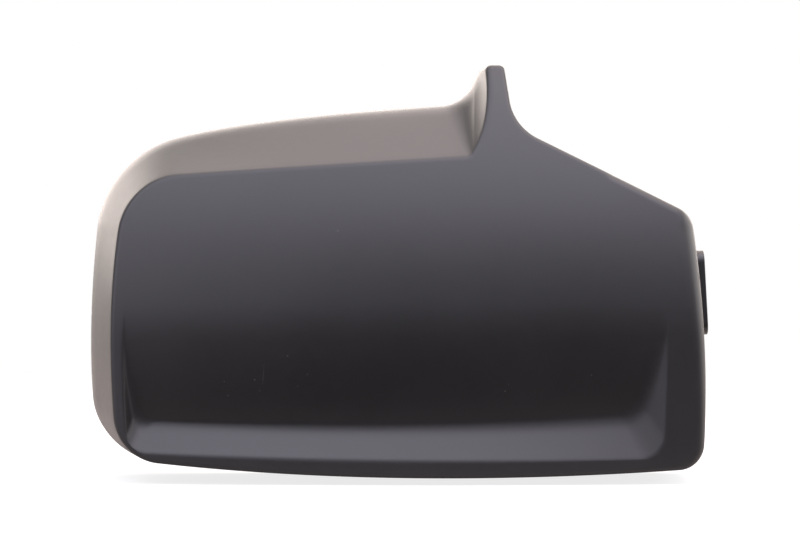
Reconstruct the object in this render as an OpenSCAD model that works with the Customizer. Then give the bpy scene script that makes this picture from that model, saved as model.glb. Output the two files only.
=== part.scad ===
// Wing mirror cover: a one-piece moulded shell, open at the back.
// X runs across the cover and Z up it. The front face looks along -Y, and the open rim is at +Y.

/* [Front face] */
// Width across the face, measured to the control points of its two bowed sides
face_w = 291.4; // [260:0.2:320]
// Height of the top left corner above the sill
left_h = 150; // [135:0.5:165]
// Height of the top right corner above the sill
right_h = 132; // [115:0.5:145]
// How far both top corners lean in from the sides
corner_lean = 8; // [2:0.5:14]
// Radius of the top left corner
left_corner_r = 31; // [20:0.5:40]
// Radius of the top right corner
right_corner_r = 12.5; // [8:0.5:20]
// Radius of the bottom left corner
sill_left_r = 24; // [16:0.5:30]
// Radius of the bottom right corner
sill_right_r = 13; // [9:0.5:20]
// Rise of the bottom left corner above the middle of the sill
sill_left_rise = 14; // [8:0.5:20]
// Rise of the bottom right corner above the middle of the sill
sill_right_rise = 9.3; // [5:0.1:14]
// Radius of the crown that tips the upper face back
crown_r = 200; // [150:5:300]
// Height at which that crown starts
crown_z = 72; // [60:1:84]
// Radius of the very slight bow across the face
bow_r = 1800; // [1200:50:4000]
// Radius of the edge all round the face
edge_r = 1.8; // [1:0.1:2]
// Radius of the softer edge down the right side, at the sill
side_edge_low_r = 4; // [3:0.1:5]
// Radius of that softer edge at the top right corner
side_edge_high_r = 8.5; // [5:0.1:9]

/* [Horn] */
// Middle of the horn, right of the middle of the face
horn_x = 43; // [30:0.2:56]
// Width of the horn at its tip
horn_w = 9.4; // [8.4:0.1:11]
// Height of the horn's tip above the sill
horn_top = 207.4; // [201:0.2:214]
// Radius of the tip's two corners
horn_tip_r = 3; // [2.8:0.1:3.6]
// Height of the hollow corner left of the horn
horn_root_left_h = 160.5; // [156:0.5:166]
// Height of the hollow corner right of the horn
horn_root_right_h = 175.6; // [171:0.2:180]
// Radius of the hollow corner left of the horn
horn_root_left_r = 4; // [2.5:0.5:8]
// Radius of the hollow corner right of the horn
horn_root_right_r = 25; // [16:0.5:30]

/* [Body] */
// Depth from the nose to the rim
depth = 80; // [70:0.5:100]
// Wall thickness
wall = 2.5; // [2:0.1:2.7]
// Depth of the nearly straight skirt behind the shoulder
skirt = 18; // [12:0.5:22]
// How far the left wall flares out to the shoulder
flare_left = 15.2; // [8:0.1:20]
// How far the top wall rises to the shoulder next to the horn
flare_top = 28; // [18:0.5:34]
// How far the top wall rises to the shoulder at the left corner
flare_corner = 12.5; // [6:0.5:18]
// Draft of the right wall and the sill between the face and the shoulder
draft = 3; // [1.5:0.1:4]
// Length over which the shoulder is rounded, each way
shoulder_blend = 11; // [6:0.5:12]
// Draft of the skirt
skirt_draft = 0.6; // [0.3:0.1:1.2]
// Extra draft of the skirt on the left side
skirt_left_draft = 2.4; // [1:0.1:3]
// Thickness left at the rim outside its rebate
rebate_t = 1.3; // [1:0.1:1.5]
// Depth of the rebate
rebate_h = 3; // [2:0.1:5]

/* [Recess] */
// Width of the plain strip left of the recess
strip_left = 5.3; // [4:0.1:7]
// Width of the plain strip right of the recess
strip_right = 21.6; // [15:0.2:28]
// Height of the plain strip below the recess
strip_sill = 11.5; // [9:0.1:14]
// Run of the ledge from its front edge to the recessed face
ledge_run = 15.5; // [12:0.5:20]
// Height at which the face begins to sink in
recess_z = 89; // [82:0.5:96]
// Radius by which it sinks in
recess_r = 200; // [160:5:300]
// Width of the recess's left wall at the ledge
recess_left_run = 9.9; // [7:0.1:13]
// Width of the recess's right wall at the ledge
recess_right_run = 13.8; // [10:0.1:20]
// Rounding of the recess's front edge
lip_blend = 1.6; // [0.8:0.1:2]
// Rounding of the recess's inner edge
foot_blend = 4.5; // [2:0.1:6]

/* [Arm opening] */
// Height of the opening's collar
arm_h = 42; // [36:0.5:48]
// Length of the collar along the depth
arm_l = 34; // [26:0.5:38]
// Height of the collar's middle above the sill
arm_z = 94; // [88:0.5:100]
// Gap between the collar and the rim
arm_back = 8; // [6:0.5:12]
// How far the collar stands out from the right wall at its middle
arm_proud = 3.1; // [2:0.1:10]
// Lean of the collar
arm_lean = 3; // [0:0.1:5]
// Corner radius of the collar
arm_r = 6; // [4:0.5:9]

/* [Inside] */
// Thickness of the ribs
rib_t = 1.8; // [1.2:0.1:2.4]
// Depth of the ribs' back edges behind the nose
rib_back = 27; // [24:0.5:34]
// Pitch of the upright ribs
rib_pitch = 48; // [42:0.5:52]
// Upright ribs on each side of the middle one
rib_pairs = 2; // [1:1:2]
// Height of the lower level rib
rib_low_z = 56; // [50:0.5:66]
// Height of the upper level rib
rib_high_z = 112; // [104:0.5:120]
// Outer diameter of the screw bosses
boss_d = 9; // [8:0.1:11]
// Bore of the screw bosses
boss_bore_d = 3.5; // [2.8:0.1:4.2]
// Depth of the bores
boss_bore_l = 18; // [12:0.5:20]
// Depth of the bosses' ends behind the nose
boss_back = 46; // [42:0.5:56]
// Width of the snap catches inside the skirt
catch_w = 12; // [8:0.5:16]
// Height of the catches above the wall
catch_h = 1.8; // [1.2:0.1:2.4]
// Length of the catches along the depth
catch_l = 7; // [5:0.5:9]

/* [Hidden] */

half_w = face_w / 2;
top_x = half_w - corner_lean;
horn_left = horn_x - horn_w / 2;
horn_right = horn_x + horn_w / 2;
horn_root_x = horn_x - 12.4;
horn_neck_x = horn_x - 2;
horn_neck_rise = 17.5;
sill_corner_x = half_w - 3.3;
sill_soft_x = -6.7;
shoulder_extra_r = 22;
shoulder_top_rise = 19.5;

// Points on each stretch of an outline, clockwise from the left side, and on the straight run
// that follows a stretch where the next one is round as well.
STRETCH = [8, 8, 5, 5, 6, 4, 4, 8, 7, 8, 7, 14, 8];
LINK = [0, 0, 0, 0, 0, 1, 2, 5, 0, 0, 0, 0, 0];
N = sum_of(STRETCH) + sum_of(LINK);

// Each outline has the same thirteen corners, as [x, z, radius].
// A radius of 0 is a soft control point, which bows the whole side between its neighbours.
face_outline = [
    [-half_w, left_h * 0.54, 0],
    [-top_x, left_h, left_corner_r],
    [(horn_root_x - top_x) / 2, (left_h + horn_root_left_h) / 2, 0],
    [horn_root_x, horn_root_left_h, horn_root_left_r],
    [horn_neck_x, horn_root_left_h + horn_neck_rise, 0],
    [horn_left, horn_top, horn_tip_r],
    [horn_right, horn_top, horn_tip_r],
    [horn_x + 8.8, horn_root_right_h, horn_root_right_r],
    [top_x, right_h, right_corner_r],
    [half_w, right_h / 2, 0],
    [sill_corner_x, sill_right_rise, sill_right_r],
    [sill_soft_x, 0, 0],
    [-half_w + 5, sill_left_rise, sill_left_r],
];

shoulder_outline = [
    [-half_w - flare_left, left_h * 0.52, 0],
    [-top_x - flare_left + 0.5, left_h + flare_corner, left_corner_r + shoulder_extra_r],
    [-top_x * 0.57, left_h + flare_corner + shoulder_top_rise, 0],
    [horn_root_x - 1.9, horn_root_left_h + flare_top + 0.3, horn_root_left_r + 8],
    [horn_x - 8.5, horn_top - 5.9, 0],
    [horn_left - 1.2, horn_top - 0.8, horn_tip_r + 0.3],
    [horn_right + 0.8, horn_top - 0.8, horn_tip_r + 0.3],
    [horn_x + 10.3, horn_root_right_h + draft / 2, horn_root_right_r],
    [top_x + draft + 0.7, right_h + draft / 2, right_corner_r + 0.5],
    [half_w + draft, right_h / 2, 0],
    [sill_corner_x + draft, sill_right_rise - draft, sill_right_r + 1],
    [sill_soft_x, -draft, 0],
    [-half_w + 4.6 - flare_left, sill_left_rise - draft + 1, sill_left_r + 10],
];

// The front edge of the recess. Above the recess it only spaces the surface's points.
lip_left_x = -half_w + strip_left;
lip_right_x = half_w - strip_right;
lip_corner_r = 10;
lip_outline = [
    [lip_left_x, left_h * 0.54, 0],
    [-top_x + 5.5, left_h - 5.5, left_corner_r - 4],
    [(horn_root_x - top_x) / 2, (left_h + horn_root_left_h) / 2 - 5.3, 0],
    [horn_root_x + 2, horn_root_left_h - 6, horn_root_left_r + 7],
    [horn_neck_x + 3.4, horn_root_left_h + horn_neck_rise - 2, 0],
    [horn_x + 0.2, horn_top - 8, 0.6],
    [horn_x + 1.8, horn_top - 8, 0.6],
    [horn_x + 5.3, horn_root_right_h - 4.6, horn_root_right_r + 5],
    [top_x - 9.7, right_h - 4, right_corner_r + 3.5],
    [lip_right_x + 1.4, right_h / 2, 0],
    [lip_right_x - 0.9, strip_sill + 2.8, lip_corner_r + 2],
    [0, strip_sill, 0],
    [lip_left_x + 4.9, strip_sill + 5.9, lip_corner_r],
];

// The inner edge of the recess, where its walls meet the sunken face.
foot_sill = strip_sill + ledge_run;
foot_corner_r = 4;
foot_outline = [
    [lip_left_x + 0.4, left_h * 0.5, 0],
    [-top_x + 9.2, left_h - 10, left_corner_r - 7],
    [(horn_root_x - top_x) / 2, (left_h + horn_root_left_h) / 2 - 10.3, 0],
    [horn_root_x + 5.4, horn_root_left_h - 12.5, horn_root_left_r + 10],
    [horn_x - 1, horn_root_left_h + 4, 0],
    [horn_x + 2.2, horn_root_right_h - 4, 1],
    [horn_x + 4.2, horn_root_right_h - 4, 1],
    [horn_x + 7.3, horn_root_right_h - 11, horn_root_right_r - 5],
    [top_x - 15.7, right_h - 7, right_corner_r + 5.5],
    [lip_right_x + 5.4, right_h * 0.6, 0],
    [lip_right_x - recess_right_run, foot_sill + 4.9, foot_corner_r + 4],
    [sill_soft_x, foot_sill, 0],
    [lip_left_x + 2.8 + recess_left_run, foot_sill + 6.4, foot_corner_r],
];

pole = [horn_x + 0.8, recess_z - 1];
SINK_STEPS = [0.12, 0.26, 0.42, 0.6, 0.8];
INNER_STEPS = [0.26, 0.6];

function sum_of(list, i = 0) = i < len(list) ? list[i] + sum_of(list, i + 1) : 0;
function unit(v) = v / norm(v);
function mix(a, b, s) = a + (b - a) * s;
function bezier(a, b, c, s) = (1 - s) * (1 - s) * a + 2 * s * (1 - s) * b + s * s * c;
function flat(list) = [for (part = list) each part];

// The point h from a towards b, at most a given share of the way.
function toward(a, b, h, most = 0.45) = a + (b - a) * min(most, h / max(norm(b - a), 0.001));

// Half the angle at corner b, and how far its rounding reaches along each edge.
function half_angle(a, b, c) = acos(unit(a - b) * unit(c - b)) / 2;
function reach(corner, a, b, c) = corner[2] == 0 ? 0 :
    min(corner[2] / tan(half_angle(a, b, c)), 0.48 * norm(a - b), 0.48 * norm(c - b));

// One stretch of an outline: a round corner, or a bowed side through a soft point.
// Each point is [x, z, normal x, normal z], with the normal pointing out.
function arc_stretch(a, b, c, t, count) =
    let (half = half_angle(a, b, c), r = t * tan(half))
    let (centre = b + unit(unit(a - b) + unit(c - b)) * r / sin(half))
    let (from = b + unit(a - b) * t - centre, to = b + unit(c - b) * t - centre)
    let (start = atan2(from[1], from[0]), raw = atan2(to[1], to[0]) - start)
    let (turn = raw > 180 ? raw - 360 : raw < -180 ? raw + 360 : raw, out = turn < 0 ? 1 : -1)
    [for (k = [0 : count - 1])
        let (angle = start + turn * k / (count - 1), d = [cos(angle), sin(angle)])
        [centre[0] + r * d[0], centre[1] + r * d[1], out * d[0], out * d[1]]];

function straight_stretch(from, to, count) = count == 0 ? [] :
    let (t = unit(to - from))
    [for (k = [1 : count]) let (p = mix(from, to, k / (count + 1))) [p[0], p[1], -t[1], t[0]]];

function soft_stretch(from, b, to, count) = [for (k = [1 : count])
    let (s = k / (count + 1), p = bezier(from, b, to, s), t = unit(mix(b - from, to - b, s)))
    [p[0], p[1], -t[1], t[0]]];

function outline(corners) =
    let (count = len(corners), p = [for (c = corners) [c[0], c[1]]])
    let (t = [for (i = [0 : count - 1])
        reach(corners[i], p[(i + count - 1) % count], p[i], p[(i + 1) % count])])
    flat([for (i = [0 : count - 1])
        let (before = (i + count - 1) % count, after = (i + 1) % count)
        let (a = p[before], b = p[i], c = p[after])
        let (end = b + unit(c - b) * t[i], next = c + unit(b - c) * t[after])
        t[i] > 0 ? concat(arc_stretch(a, b, c, t[i], STRETCH[i]), straight_stretch(end, next, LINK[i])) :
            soft_stretch(a + unit(b - a) * t[before], b, next, STRETCH[i])]);

// The place in an outline of the first point on its stretch k.
function stretch_start(k) = k <= 0 ? 0 : STRETCH[k - 1] + LINK[k - 1] + stretch_start(k - 1);

// Depth of the front surface behind the nose, without and with the recess.
function strip_depth(x, z) = pow(max(z - crown_z, 0), 2) / (2 * crown_r) + x * x / (2 * bow_r);
function sunk_depth(x, z) = strip_depth(x, z) + pow(max(recess_z - z, 0), 2) / (2 * recess_r);
function on_strip(x, z, back = 0) = [x, strip_depth(x, z) + back, z];
function on_sunk(x, z, back = 0) = [x, sunk_depth(x, z) + back, z];
function toward_pole(p, s) = [mix(p[0], pole[0], s), mix(p[1], pole[1], s)];

face = outline(face_outline);
shoulder = outline(shoulder_outline);
lip = outline(lip_outline);
foot = outline(foot_outline);

side_start_x = (horn_right + half_w) / 2;
function side_edge(z) = mix(side_edge_low_r, side_edge_high_r, min(max(z / right_h, 0), 1));
function edge_at(p) = p[0] > side_start_x ? mix(edge_r, side_edge(p[1]), pow(max(p[2], 0), 2)) : edge_r;
function skirt_out(p) = skirt_draft + (p[0] < 0 ? skirt_left_draft * pow(max(-p[2], 0), 2) : 0);
function shoulder_point(p, inset = 0) = [p[0] - p[2] * inset, depth - skirt + inset / 2, p[1] - p[3] * inset];
function rim_point(p, inset = 0, up = 0) =
    let (out = skirt_out(p) - inset) [p[0] + p[2] * out, depth - up, p[1] + p[3] * out];

crease = [for (p = face) on_strip(p[0], p[1])];
face_edge = [for (p = face) on_strip(p[0] - p[2] * edge_at(p), p[1] - p[3] * edge_at(p))];
shoulder_ring = [for (p = shoulder) shoulder_point(p)];
rim_outer = [for (p = shoulder) rim_point(p)];
band_start = [for (i = [0 : N - 1]) toward(crease[i], shoulder_ring[i], edge_at(face[i]))];
band_end = [for (i = [0 : N - 1]) toward(shoulder_ring[i], crease[i], shoulder_blend)];
skirt_start = [for (i = [0 : N - 1]) toward(shoulder_ring[i], rim_outer[i], shoulder_blend)];

lip_ring = [for (p = lip) on_strip(p[0], p[1])];
foot_ring = [for (p = foot) on_sunk(p[0], p[1])];
lip_out = [for (i = [0 : N - 1]) toward(lip_ring[i], face_edge[i], lip_blend)];
lip_in = [for (i = [0 : N - 1]) toward(lip_ring[i], foot_ring[i], lip_blend, 0.3)];
foot_out = [for (i = [0 : N - 1]) toward(foot_ring[i], lip_ring[i], foot_blend, 0.3)];
sunk_by = [for (p = foot) sunk_depth(p[0], p[1]) - strip_depth(p[0], p[1])];
recess_walls = [for (s = [2 / 3, 1 / 3]) [for (i = [0 : N - 1])
    on_strip(mix(lip[i][0], foot[i][0], s), mix(lip[i][1], foot[i][1], s), sunk_by[i] * s)]];
foot_in = [for (i = [0 : N - 1])
    let (q = toward_pole(foot[i], SINK_STEPS[0])) toward(foot_ring[i], on_sunk(q[0], q[1]), foot_blend)];

function blend_rings(a, b, c, steps) =
    [for (k = [1 : steps]) [for (i = [0 : N - 1]) bezier(a[i], b[i], c[i], k / (steps + 1))]];
function sunk_ring(s, back = 0) = [for (p = foot) let (q = toward_pole(p, s)) on_sunk(q[0], q[1], back)];

// The outer skin, from the pole of the front face out to the rim.
outer_rings = concat(
    [for (k = [len(SINK_STEPS) - 1 : -1 : 0]) sunk_ring(SINK_STEPS[k])],
    [foot_in], blend_rings(foot_in, foot_ring, foot_out, 2), [foot_out], recess_walls, [lip_in],
    blend_rings(lip_in, lip_ring, lip_out, 1), [lip_out, face_edge],
    blend_rings(face_edge, crease, band_start, 2), [band_start],
    [[for (i = [0 : N - 1]) mix(band_start[i], band_end[i], 0.5)]], [band_end],
    blend_rings(band_end, shoulder_ring, skirt_start, 2), [skirt_start, rim_outer]);

// The rebate round the inside of the rim.
rim_rings = [
    [for (p = shoulder) rim_point(p, rebate_t)],
    [for (p = shoulder) rim_point(p, rebate_t, rebate_h)],
    [for (p = shoulder) rim_point(p, wall, rebate_h)],
];

// The inner skin, from the rim back to the pole.
inner_back = wall * 1.08;
inner_shoulder = [for (p = shoulder) shoulder_point(p, wall)];
inner_crease = [for (p = face)
    let (in = wall + 0.2 * (edge_at(p) - edge_r)) on_strip(p[0] - p[2] * in, p[1] - p[3] * in, in * 1.1)];
inner_lip = [for (i = [0 : N - 1])
    let (from = [lip[i][0], lip[i][1]], to = [foot[i][0], foot[i][1]])
    let (gap = (face[i][0] - from[0]) * face[i][2] + (face[i][1] - from[1]) * face[i][3])
    let (p = toward(from, to, max(wall, wall + 2 - gap)))
    on_strip(p[0], p[1], inner_back + sunk_by[i] * norm(p - from) / norm(to - from))];
inner_rings = concat(
    [[for (i = [0 : N - 1]) toward(inner_shoulder[i], rim_rings[2][i], shoulder_blend)]],
    [[for (i = [0 : N - 1]) bezier(toward(inner_shoulder[i], rim_rings[2][i], shoulder_blend),
        inner_shoulder[i], toward(inner_shoulder[i], inner_crease[i], shoulder_blend), 0.5)]],
    [[for (i = [0 : N - 1]) toward(inner_shoulder[i], inner_crease[i], shoulder_blend)]],
    [inner_crease],
    [inner_lip],
    [[for (p = foot) on_sunk(p[0], p[1], inner_back)]],
    [for (s = INNER_STEPS) sunk_ring(s, inner_back)]);

shell_rings = concat(outer_rings, rim_rings, inner_rings);
front_pole = on_sunk(pole[0], pole[1]);
back_pole = on_sunk(pole[0], pole[1], inner_back);

// Skins a stack of rings and closes both ends with a fan to a pole.
module ring_solid(rings, first_pole, last_pole) {
    count = len(rings);
    points = concat(flat(rings), [first_pole, last_pole]);
    strips = [for (k = [0 : count - 2]) for (i = [0 : N - 1])
        let (j = (i + 1) % N, a = k * N, b = a + N)
        each [[a + i, b + i, b + j], [a + i, b + j, a + j]]];
    first_fan = [for (i = [0 : N - 1]) [count * N, i, (i + 1) % N]];
    last_fan = [for (i = [0 : N - 1])
        let (a = (count - 1) * N) [a + i, count * N + 1, a + (i + 1) % N]];
    polyhedron(points, concat(first_fan, strips, last_fan), convexity = 10);
}

// Depth of the middle of the wall behind the recessed face and its ledge.
ledge_z = strip_sill + 2.5;
foot_z = strip_sill + ledge_run + 0.5;
function wall_depth(x, z) = wall / 2 +
    (z < foot_z ? mix(strip_depth(x, z), sunk_depth(x, foot_z), max(z - ledge_z, 0) / (foot_z - ledge_z)) :
        sunk_depth(x, z));

RIB_STEPS = 14;

// Where the band round the face lies at depth y, halfway through its thickness: its x at height z
// on the left or the right, and its top at x.
function band_point(i, y) =
    let (from = crease[i], to = shoulder_ring[i], s = (y - from[1]) / (to[1] - from[1]))
    let (p = mix(from, to, s)) [p[0] - face[i][2] * wall / 2, p[2] - face[i][3] * wall / 2];
left_points = [for (i = [N - 3 : N - 1]) i, for (i = [0 : STRETCH[0] + 4]) i];
right_points = [for (i = [stretch_start(8) + 4 : stretch_start(10) + 3]) i];
top_points = [for (i = [stretch_start(1) + 4 : stretch_start(3)]) i];
slope_points = [for (i = [stretch_start(7) + 6 : stretch_start(8) + 2]) i];
function side_x(points, y, z) = lookup(z, [for (i = points) let (p = band_point(i, y)) [p[1], p[0]]]);
function top_z(x, y) = lookup(x, [for (i = x < horn_x ? top_points : slope_points) band_point(i, y)]);

module upright_rib(x) {
    top = top_z(x, wall_depth(x, left_h));
    heights = [ledge_z, for (k = [0 : RIB_STEPS]) mix(foot_z, top, k / RIB_STEPS)];
    front = [for (z = heights) [wall_depth(x, z), z]];
    translate([x + rib_t / 2, 0, 0])
        rotate([90, 0, -90])
            linear_extrude(rib_t)
                polygon(concat([for (p = front) [-p[0], p[1]]],
                    [[-rib_back, top_z(x, rib_back)], [-rib_back, ledge_z]]));
}

module level_rib(z) {
    corner_cut = 0.4 * side_edge(z);
    left = side_x(left_points, wall_depth(-half_w, z), z);
    right_y = wall_depth(half_w, z) + corner_cut;
    right = side_x(right_points, right_y, z);
    front = [for (k = [0 : RIB_STEPS])
        let (x = mix(left, right - corner_cut, k / RIB_STEPS)) [x, wall_depth(x, z)]];
    ends = [[right, right_y], [side_x(right_points, rib_back, z), rib_back],
        [side_x(left_points, rib_back, z), rib_back]];
    translate([0, 0, z - rib_t / 2])
        linear_extrude(rib_t)
            polygon(concat(front, ends));
}

boss_places = [for (side = [-1, 1], z = [rib_low_z, rib_high_z]) [side * rib_pairs * rib_pitch, z]];

module bosses() {
    for (p = boss_places)
        translate([p[0], wall_depth(p[0], p[1]), p[1]])
            rotate([-90, 0, 0])
                cylinder(d = boss_d, h = boss_back - wall_depth(p[0], p[1]), $fn = 48);
}

module bores() {
    for (p = boss_places)
        translate([p[0], boss_back - boss_bore_l, p[1]])
            rotate([-90, 0, 0])
                cylinder(d = boss_bore_d, h = boss_bore_l + 1, $fn = 32);
}

module rounded_plate(l, h, r, t) {
    linear_extrude(t)
        hull()
            for (x = [r - l / 2, l / 2 - r], y = [r - h / 2, h / 2 - r])
                translate([x, y])
                    circle(r, $fn = 32);
}

arm_y = depth - arm_back - arm_l / 2;
arm_x = side_x(right_points, arm_y, arm_z) + wall / 2 + arm_proud;
arm_block = arm_proud + 1.5 * wall;
arm_cut = 14;

// The collar's frame: its middle, with local X along the depth and local Y up the wall.
module on_collar(out) {
    translate([arm_x, arm_y, arm_z])
        rotate([0, -arm_lean, 0])
            translate([out, 0, 0])
                rotate([90, 0, 90])
                    children();
}

// One wedge-shaped catch on the inside of the skirt, at point i of the outline.
module snap_catch(i) {
    p = shoulder[i];
    base = wall * 0.3;
    slope = skirt_out(p) / skirt;
    profile = [[0, 0], [0, base + 0.4], [catch_l * 0.6, base + catch_h], [catch_l, base + catch_h], [catch_l, 0]];
    translate(rim_point(p, wall - base, rebate_h + 1))
        rotate([0, atan2(p[2], p[3]) + 180, 0])
            translate([-catch_w / 2, 0, 0])
                rotate([90, 0, 90])
                    linear_extrude(catch_w)
                        polygon([for (q = profile) [-q[0], q[1] + slope * q[0]]]);
}

// Each catch, as [stretch, place on that stretch].
CATCHES = [[0, 2], [0, 5], [2, 0], [2, 2], [2, 4], [11, 2], [11, 6], [11, 11]];

module cover() {
    difference() {
        union() {
            ring_solid(shell_rings, front_pole, back_pole);
            for (k = [-rib_pairs : rib_pairs])
                upright_rib(k * rib_pitch);
            level_rib(rib_low_z);
            level_rib(rib_high_z);
            bosses();
            for (c = CATCHES)
                snap_catch(stretch_start(c[0]) + c[1]);
            on_collar(-arm_block)
                rounded_plate(arm_l, arm_h, arm_r, arm_block);
        }
        bores();
        on_collar(-arm_cut)
            rounded_plate(arm_l - 2 * wall, arm_h - 2 * wall, arm_r - wall, 2 * arm_cut);
    }
}

all_points = flat(shell_rings);
low_x = min([for (p = all_points) p[0]]);
high_x = max(arm_x + arm_h / 2 * sin(arm_lean), max([for (p = all_points) p[0]]));
low_y = min([for (p = all_points) p[1]]);
low_z = min([for (p = all_points) p[2]]);

module mirror_cover() {
    color("#26262a")
        translate([-(low_x + high_x) / 2, -(low_y + depth) / 2, -low_z])
            cover();
}

mirror_cover();
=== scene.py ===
# %% [markdown]
# # Wing mirror cover
# The object is the painted-black or grained plastic cover of a wing mirror: one moulding, open at
# the back. Its front face has a shallow recess, a thin horn stands on its top edge, and its walls
# flare out behind the face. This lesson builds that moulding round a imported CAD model, gives it a
# satin plastic finish and lights it as in a small studio.
#
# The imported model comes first, because it fixes the place and the size of everything else.

import math

import bpy
import numpy as np
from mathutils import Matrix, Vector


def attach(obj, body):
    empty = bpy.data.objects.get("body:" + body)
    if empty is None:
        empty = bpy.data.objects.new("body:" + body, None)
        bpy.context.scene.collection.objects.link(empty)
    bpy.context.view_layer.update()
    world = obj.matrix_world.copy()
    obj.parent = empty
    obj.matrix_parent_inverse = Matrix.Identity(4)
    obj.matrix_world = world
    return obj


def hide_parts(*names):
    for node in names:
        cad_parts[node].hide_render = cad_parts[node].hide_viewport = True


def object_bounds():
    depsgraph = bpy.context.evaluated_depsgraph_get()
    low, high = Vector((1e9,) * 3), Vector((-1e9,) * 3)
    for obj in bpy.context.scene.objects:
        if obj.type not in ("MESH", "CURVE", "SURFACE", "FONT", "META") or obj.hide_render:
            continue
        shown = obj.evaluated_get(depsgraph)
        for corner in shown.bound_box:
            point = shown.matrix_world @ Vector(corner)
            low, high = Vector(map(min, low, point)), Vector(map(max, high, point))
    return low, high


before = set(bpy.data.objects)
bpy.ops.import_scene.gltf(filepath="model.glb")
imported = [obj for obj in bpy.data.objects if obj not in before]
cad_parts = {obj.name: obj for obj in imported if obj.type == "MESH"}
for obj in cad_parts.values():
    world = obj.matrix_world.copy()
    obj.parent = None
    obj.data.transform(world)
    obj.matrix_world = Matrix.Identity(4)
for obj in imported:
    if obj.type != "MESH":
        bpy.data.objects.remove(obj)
cad_low, cad_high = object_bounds()
NODE, BODY, SLOT = "mirror_cover", "root", "satin_black"
print("CAD box", [round(v, 4) for v in cad_low], [round(v, 4) for v in cad_high])

# %% [markdown]
# ## Camera
# The cover is seen square from the front and from about 1.2 m, so that its left flank, which widens
# towards the back, still shows. A long lens on a 36 mm sensor gives that view: it takes in 384 mm
# at the distance of the face.

# %% Camera
CAMERA_AT = (0.0026, -1.24, 0.1054)
LENS_MM = 112.5

bpy.ops.object.camera_add(location=CAMERA_AT, rotation=(math.radians(90), 0, 0))
camera = bpy.context.object
camera.data.lens = LENS_MM
camera.data.sensor_width = 36
bpy.context.scene.camera = camera
bpy.context.scene.view_settings.view_transform = "Standard"
print("camera looks along +Y from", CAMERA_AT)

# %% [markdown]
# ## The cover's outlines
# A moulding like this is drawn as a few outlines in the plane of the face, one behind the other:
# the front edge of the face, the widest line at the shoulder, and the two edges of the recess.
# Each outline is a closed run of corners. A corner with a radius is an arc. A corner with radius 0
# is a soft point that bows the whole side between its neighbours, as a spline's handle does.
# The same thirteen corners in every outline let the surfaces between them run without twisting.
#
# Sizes are in millimetres, x across and z up from the sill, as on a drawing.

# %% Sizes of the face, the horn and the body
FACE_W, LEFT_H, RIGHT_H, CORNER_LEAN = 291.4, 150.0, 132.0, 8.0
LEFT_CORNER_R, RIGHT_CORNER_R, SILL_LEFT_R, SILL_RIGHT_R = 31.0, 12.5, 24.0, 13.0
SILL_LEFT_RISE, SILL_RIGHT_RISE = 14.0, 9.3
CROWN_R, CROWN_Z, BOW_R = 200.0, 72.0, 1800.0
EDGE_R, SIDE_EDGE_LOW_R, SIDE_EDGE_HIGH_R = 1.8, 4.0, 8.5
HORN_X, HORN_W, HORN_TOP, HORN_TIP_R = 43.0, 9.4, 207.4, 3.0
ROOT_LEFT_H, ROOT_RIGHT_H, ROOT_LEFT_R, ROOT_RIGHT_R = 160.5, 175.6, 4.0, 25.0
DEPTH, WALL, SKIRT = 80.0, 2.5, 18.0
FLARE_LEFT, FLARE_TOP, FLARE_CORNER, DRAFT = 15.2, 28.0, 12.5, 3.0
SHOULDER_BLEND, SKIRT_DRAFT, SKIRT_LEFT_DRAFT = 11.0, 0.6, 2.4
REBATE_T, REBATE_H = 1.3, 3.0
STRIP_LEFT, STRIP_RIGHT, STRIP_SILL, LEDGE_RUN = 5.3, 21.6, 11.5, 15.5
RECESS_Z, RECESS_R, RECESS_LEFT_RUN, RECESS_RIGHT_RUN = 89.0, 200.0, 6.0, 13.8
LIP_BLEND, FOOT_BLEND, HORN_SOFT = 1.6, 6.0, 1.2

HALF_W = FACE_W / 2
TOP_X = HALF_W - CORNER_LEAN
HORN_LEFT, HORN_RIGHT = HORN_X - HORN_W / 2, HORN_X + HORN_W / 2
ROOT_X = HORN_X - 12.4
NECK_X, NECK_RISE = HORN_X - 2.0, 17.5
SILL_CORNER_X, SILL_SOFT_X = HALF_W - 3.3, -6.7
LIP_LEFT_X, LIP_RIGHT_X, LIP_R = -HALF_W + STRIP_LEFT, HALF_W - STRIP_RIGHT, 10.0
FOOT_SILL, FOOT_R = STRIP_SILL + LEDGE_RUN, 4.0

# %% The four outlines, as [x, z, radius]
FACE = [
    [-HALF_W, LEFT_H * 0.54, 0],
    [-TOP_X, LEFT_H, LEFT_CORNER_R],
    [(ROOT_X - TOP_X) / 2, (LEFT_H + ROOT_LEFT_H) / 2, 0],
    [ROOT_X, ROOT_LEFT_H, ROOT_LEFT_R],
    [NECK_X, ROOT_LEFT_H + NECK_RISE, 0],
    [HORN_LEFT, HORN_TOP, HORN_TIP_R],
    [HORN_RIGHT, HORN_TOP, HORN_TIP_R],
    [HORN_X + 8.8, ROOT_RIGHT_H, ROOT_RIGHT_R],
    [TOP_X, RIGHT_H, RIGHT_CORNER_R],
    [HALF_W, RIGHT_H / 2, 0],
    [SILL_CORNER_X, SILL_RIGHT_RISE, SILL_RIGHT_R],
    [SILL_SOFT_X, 0, 0],
    [-HALF_W + 5, SILL_LEFT_RISE, SILL_LEFT_R],
]
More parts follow.
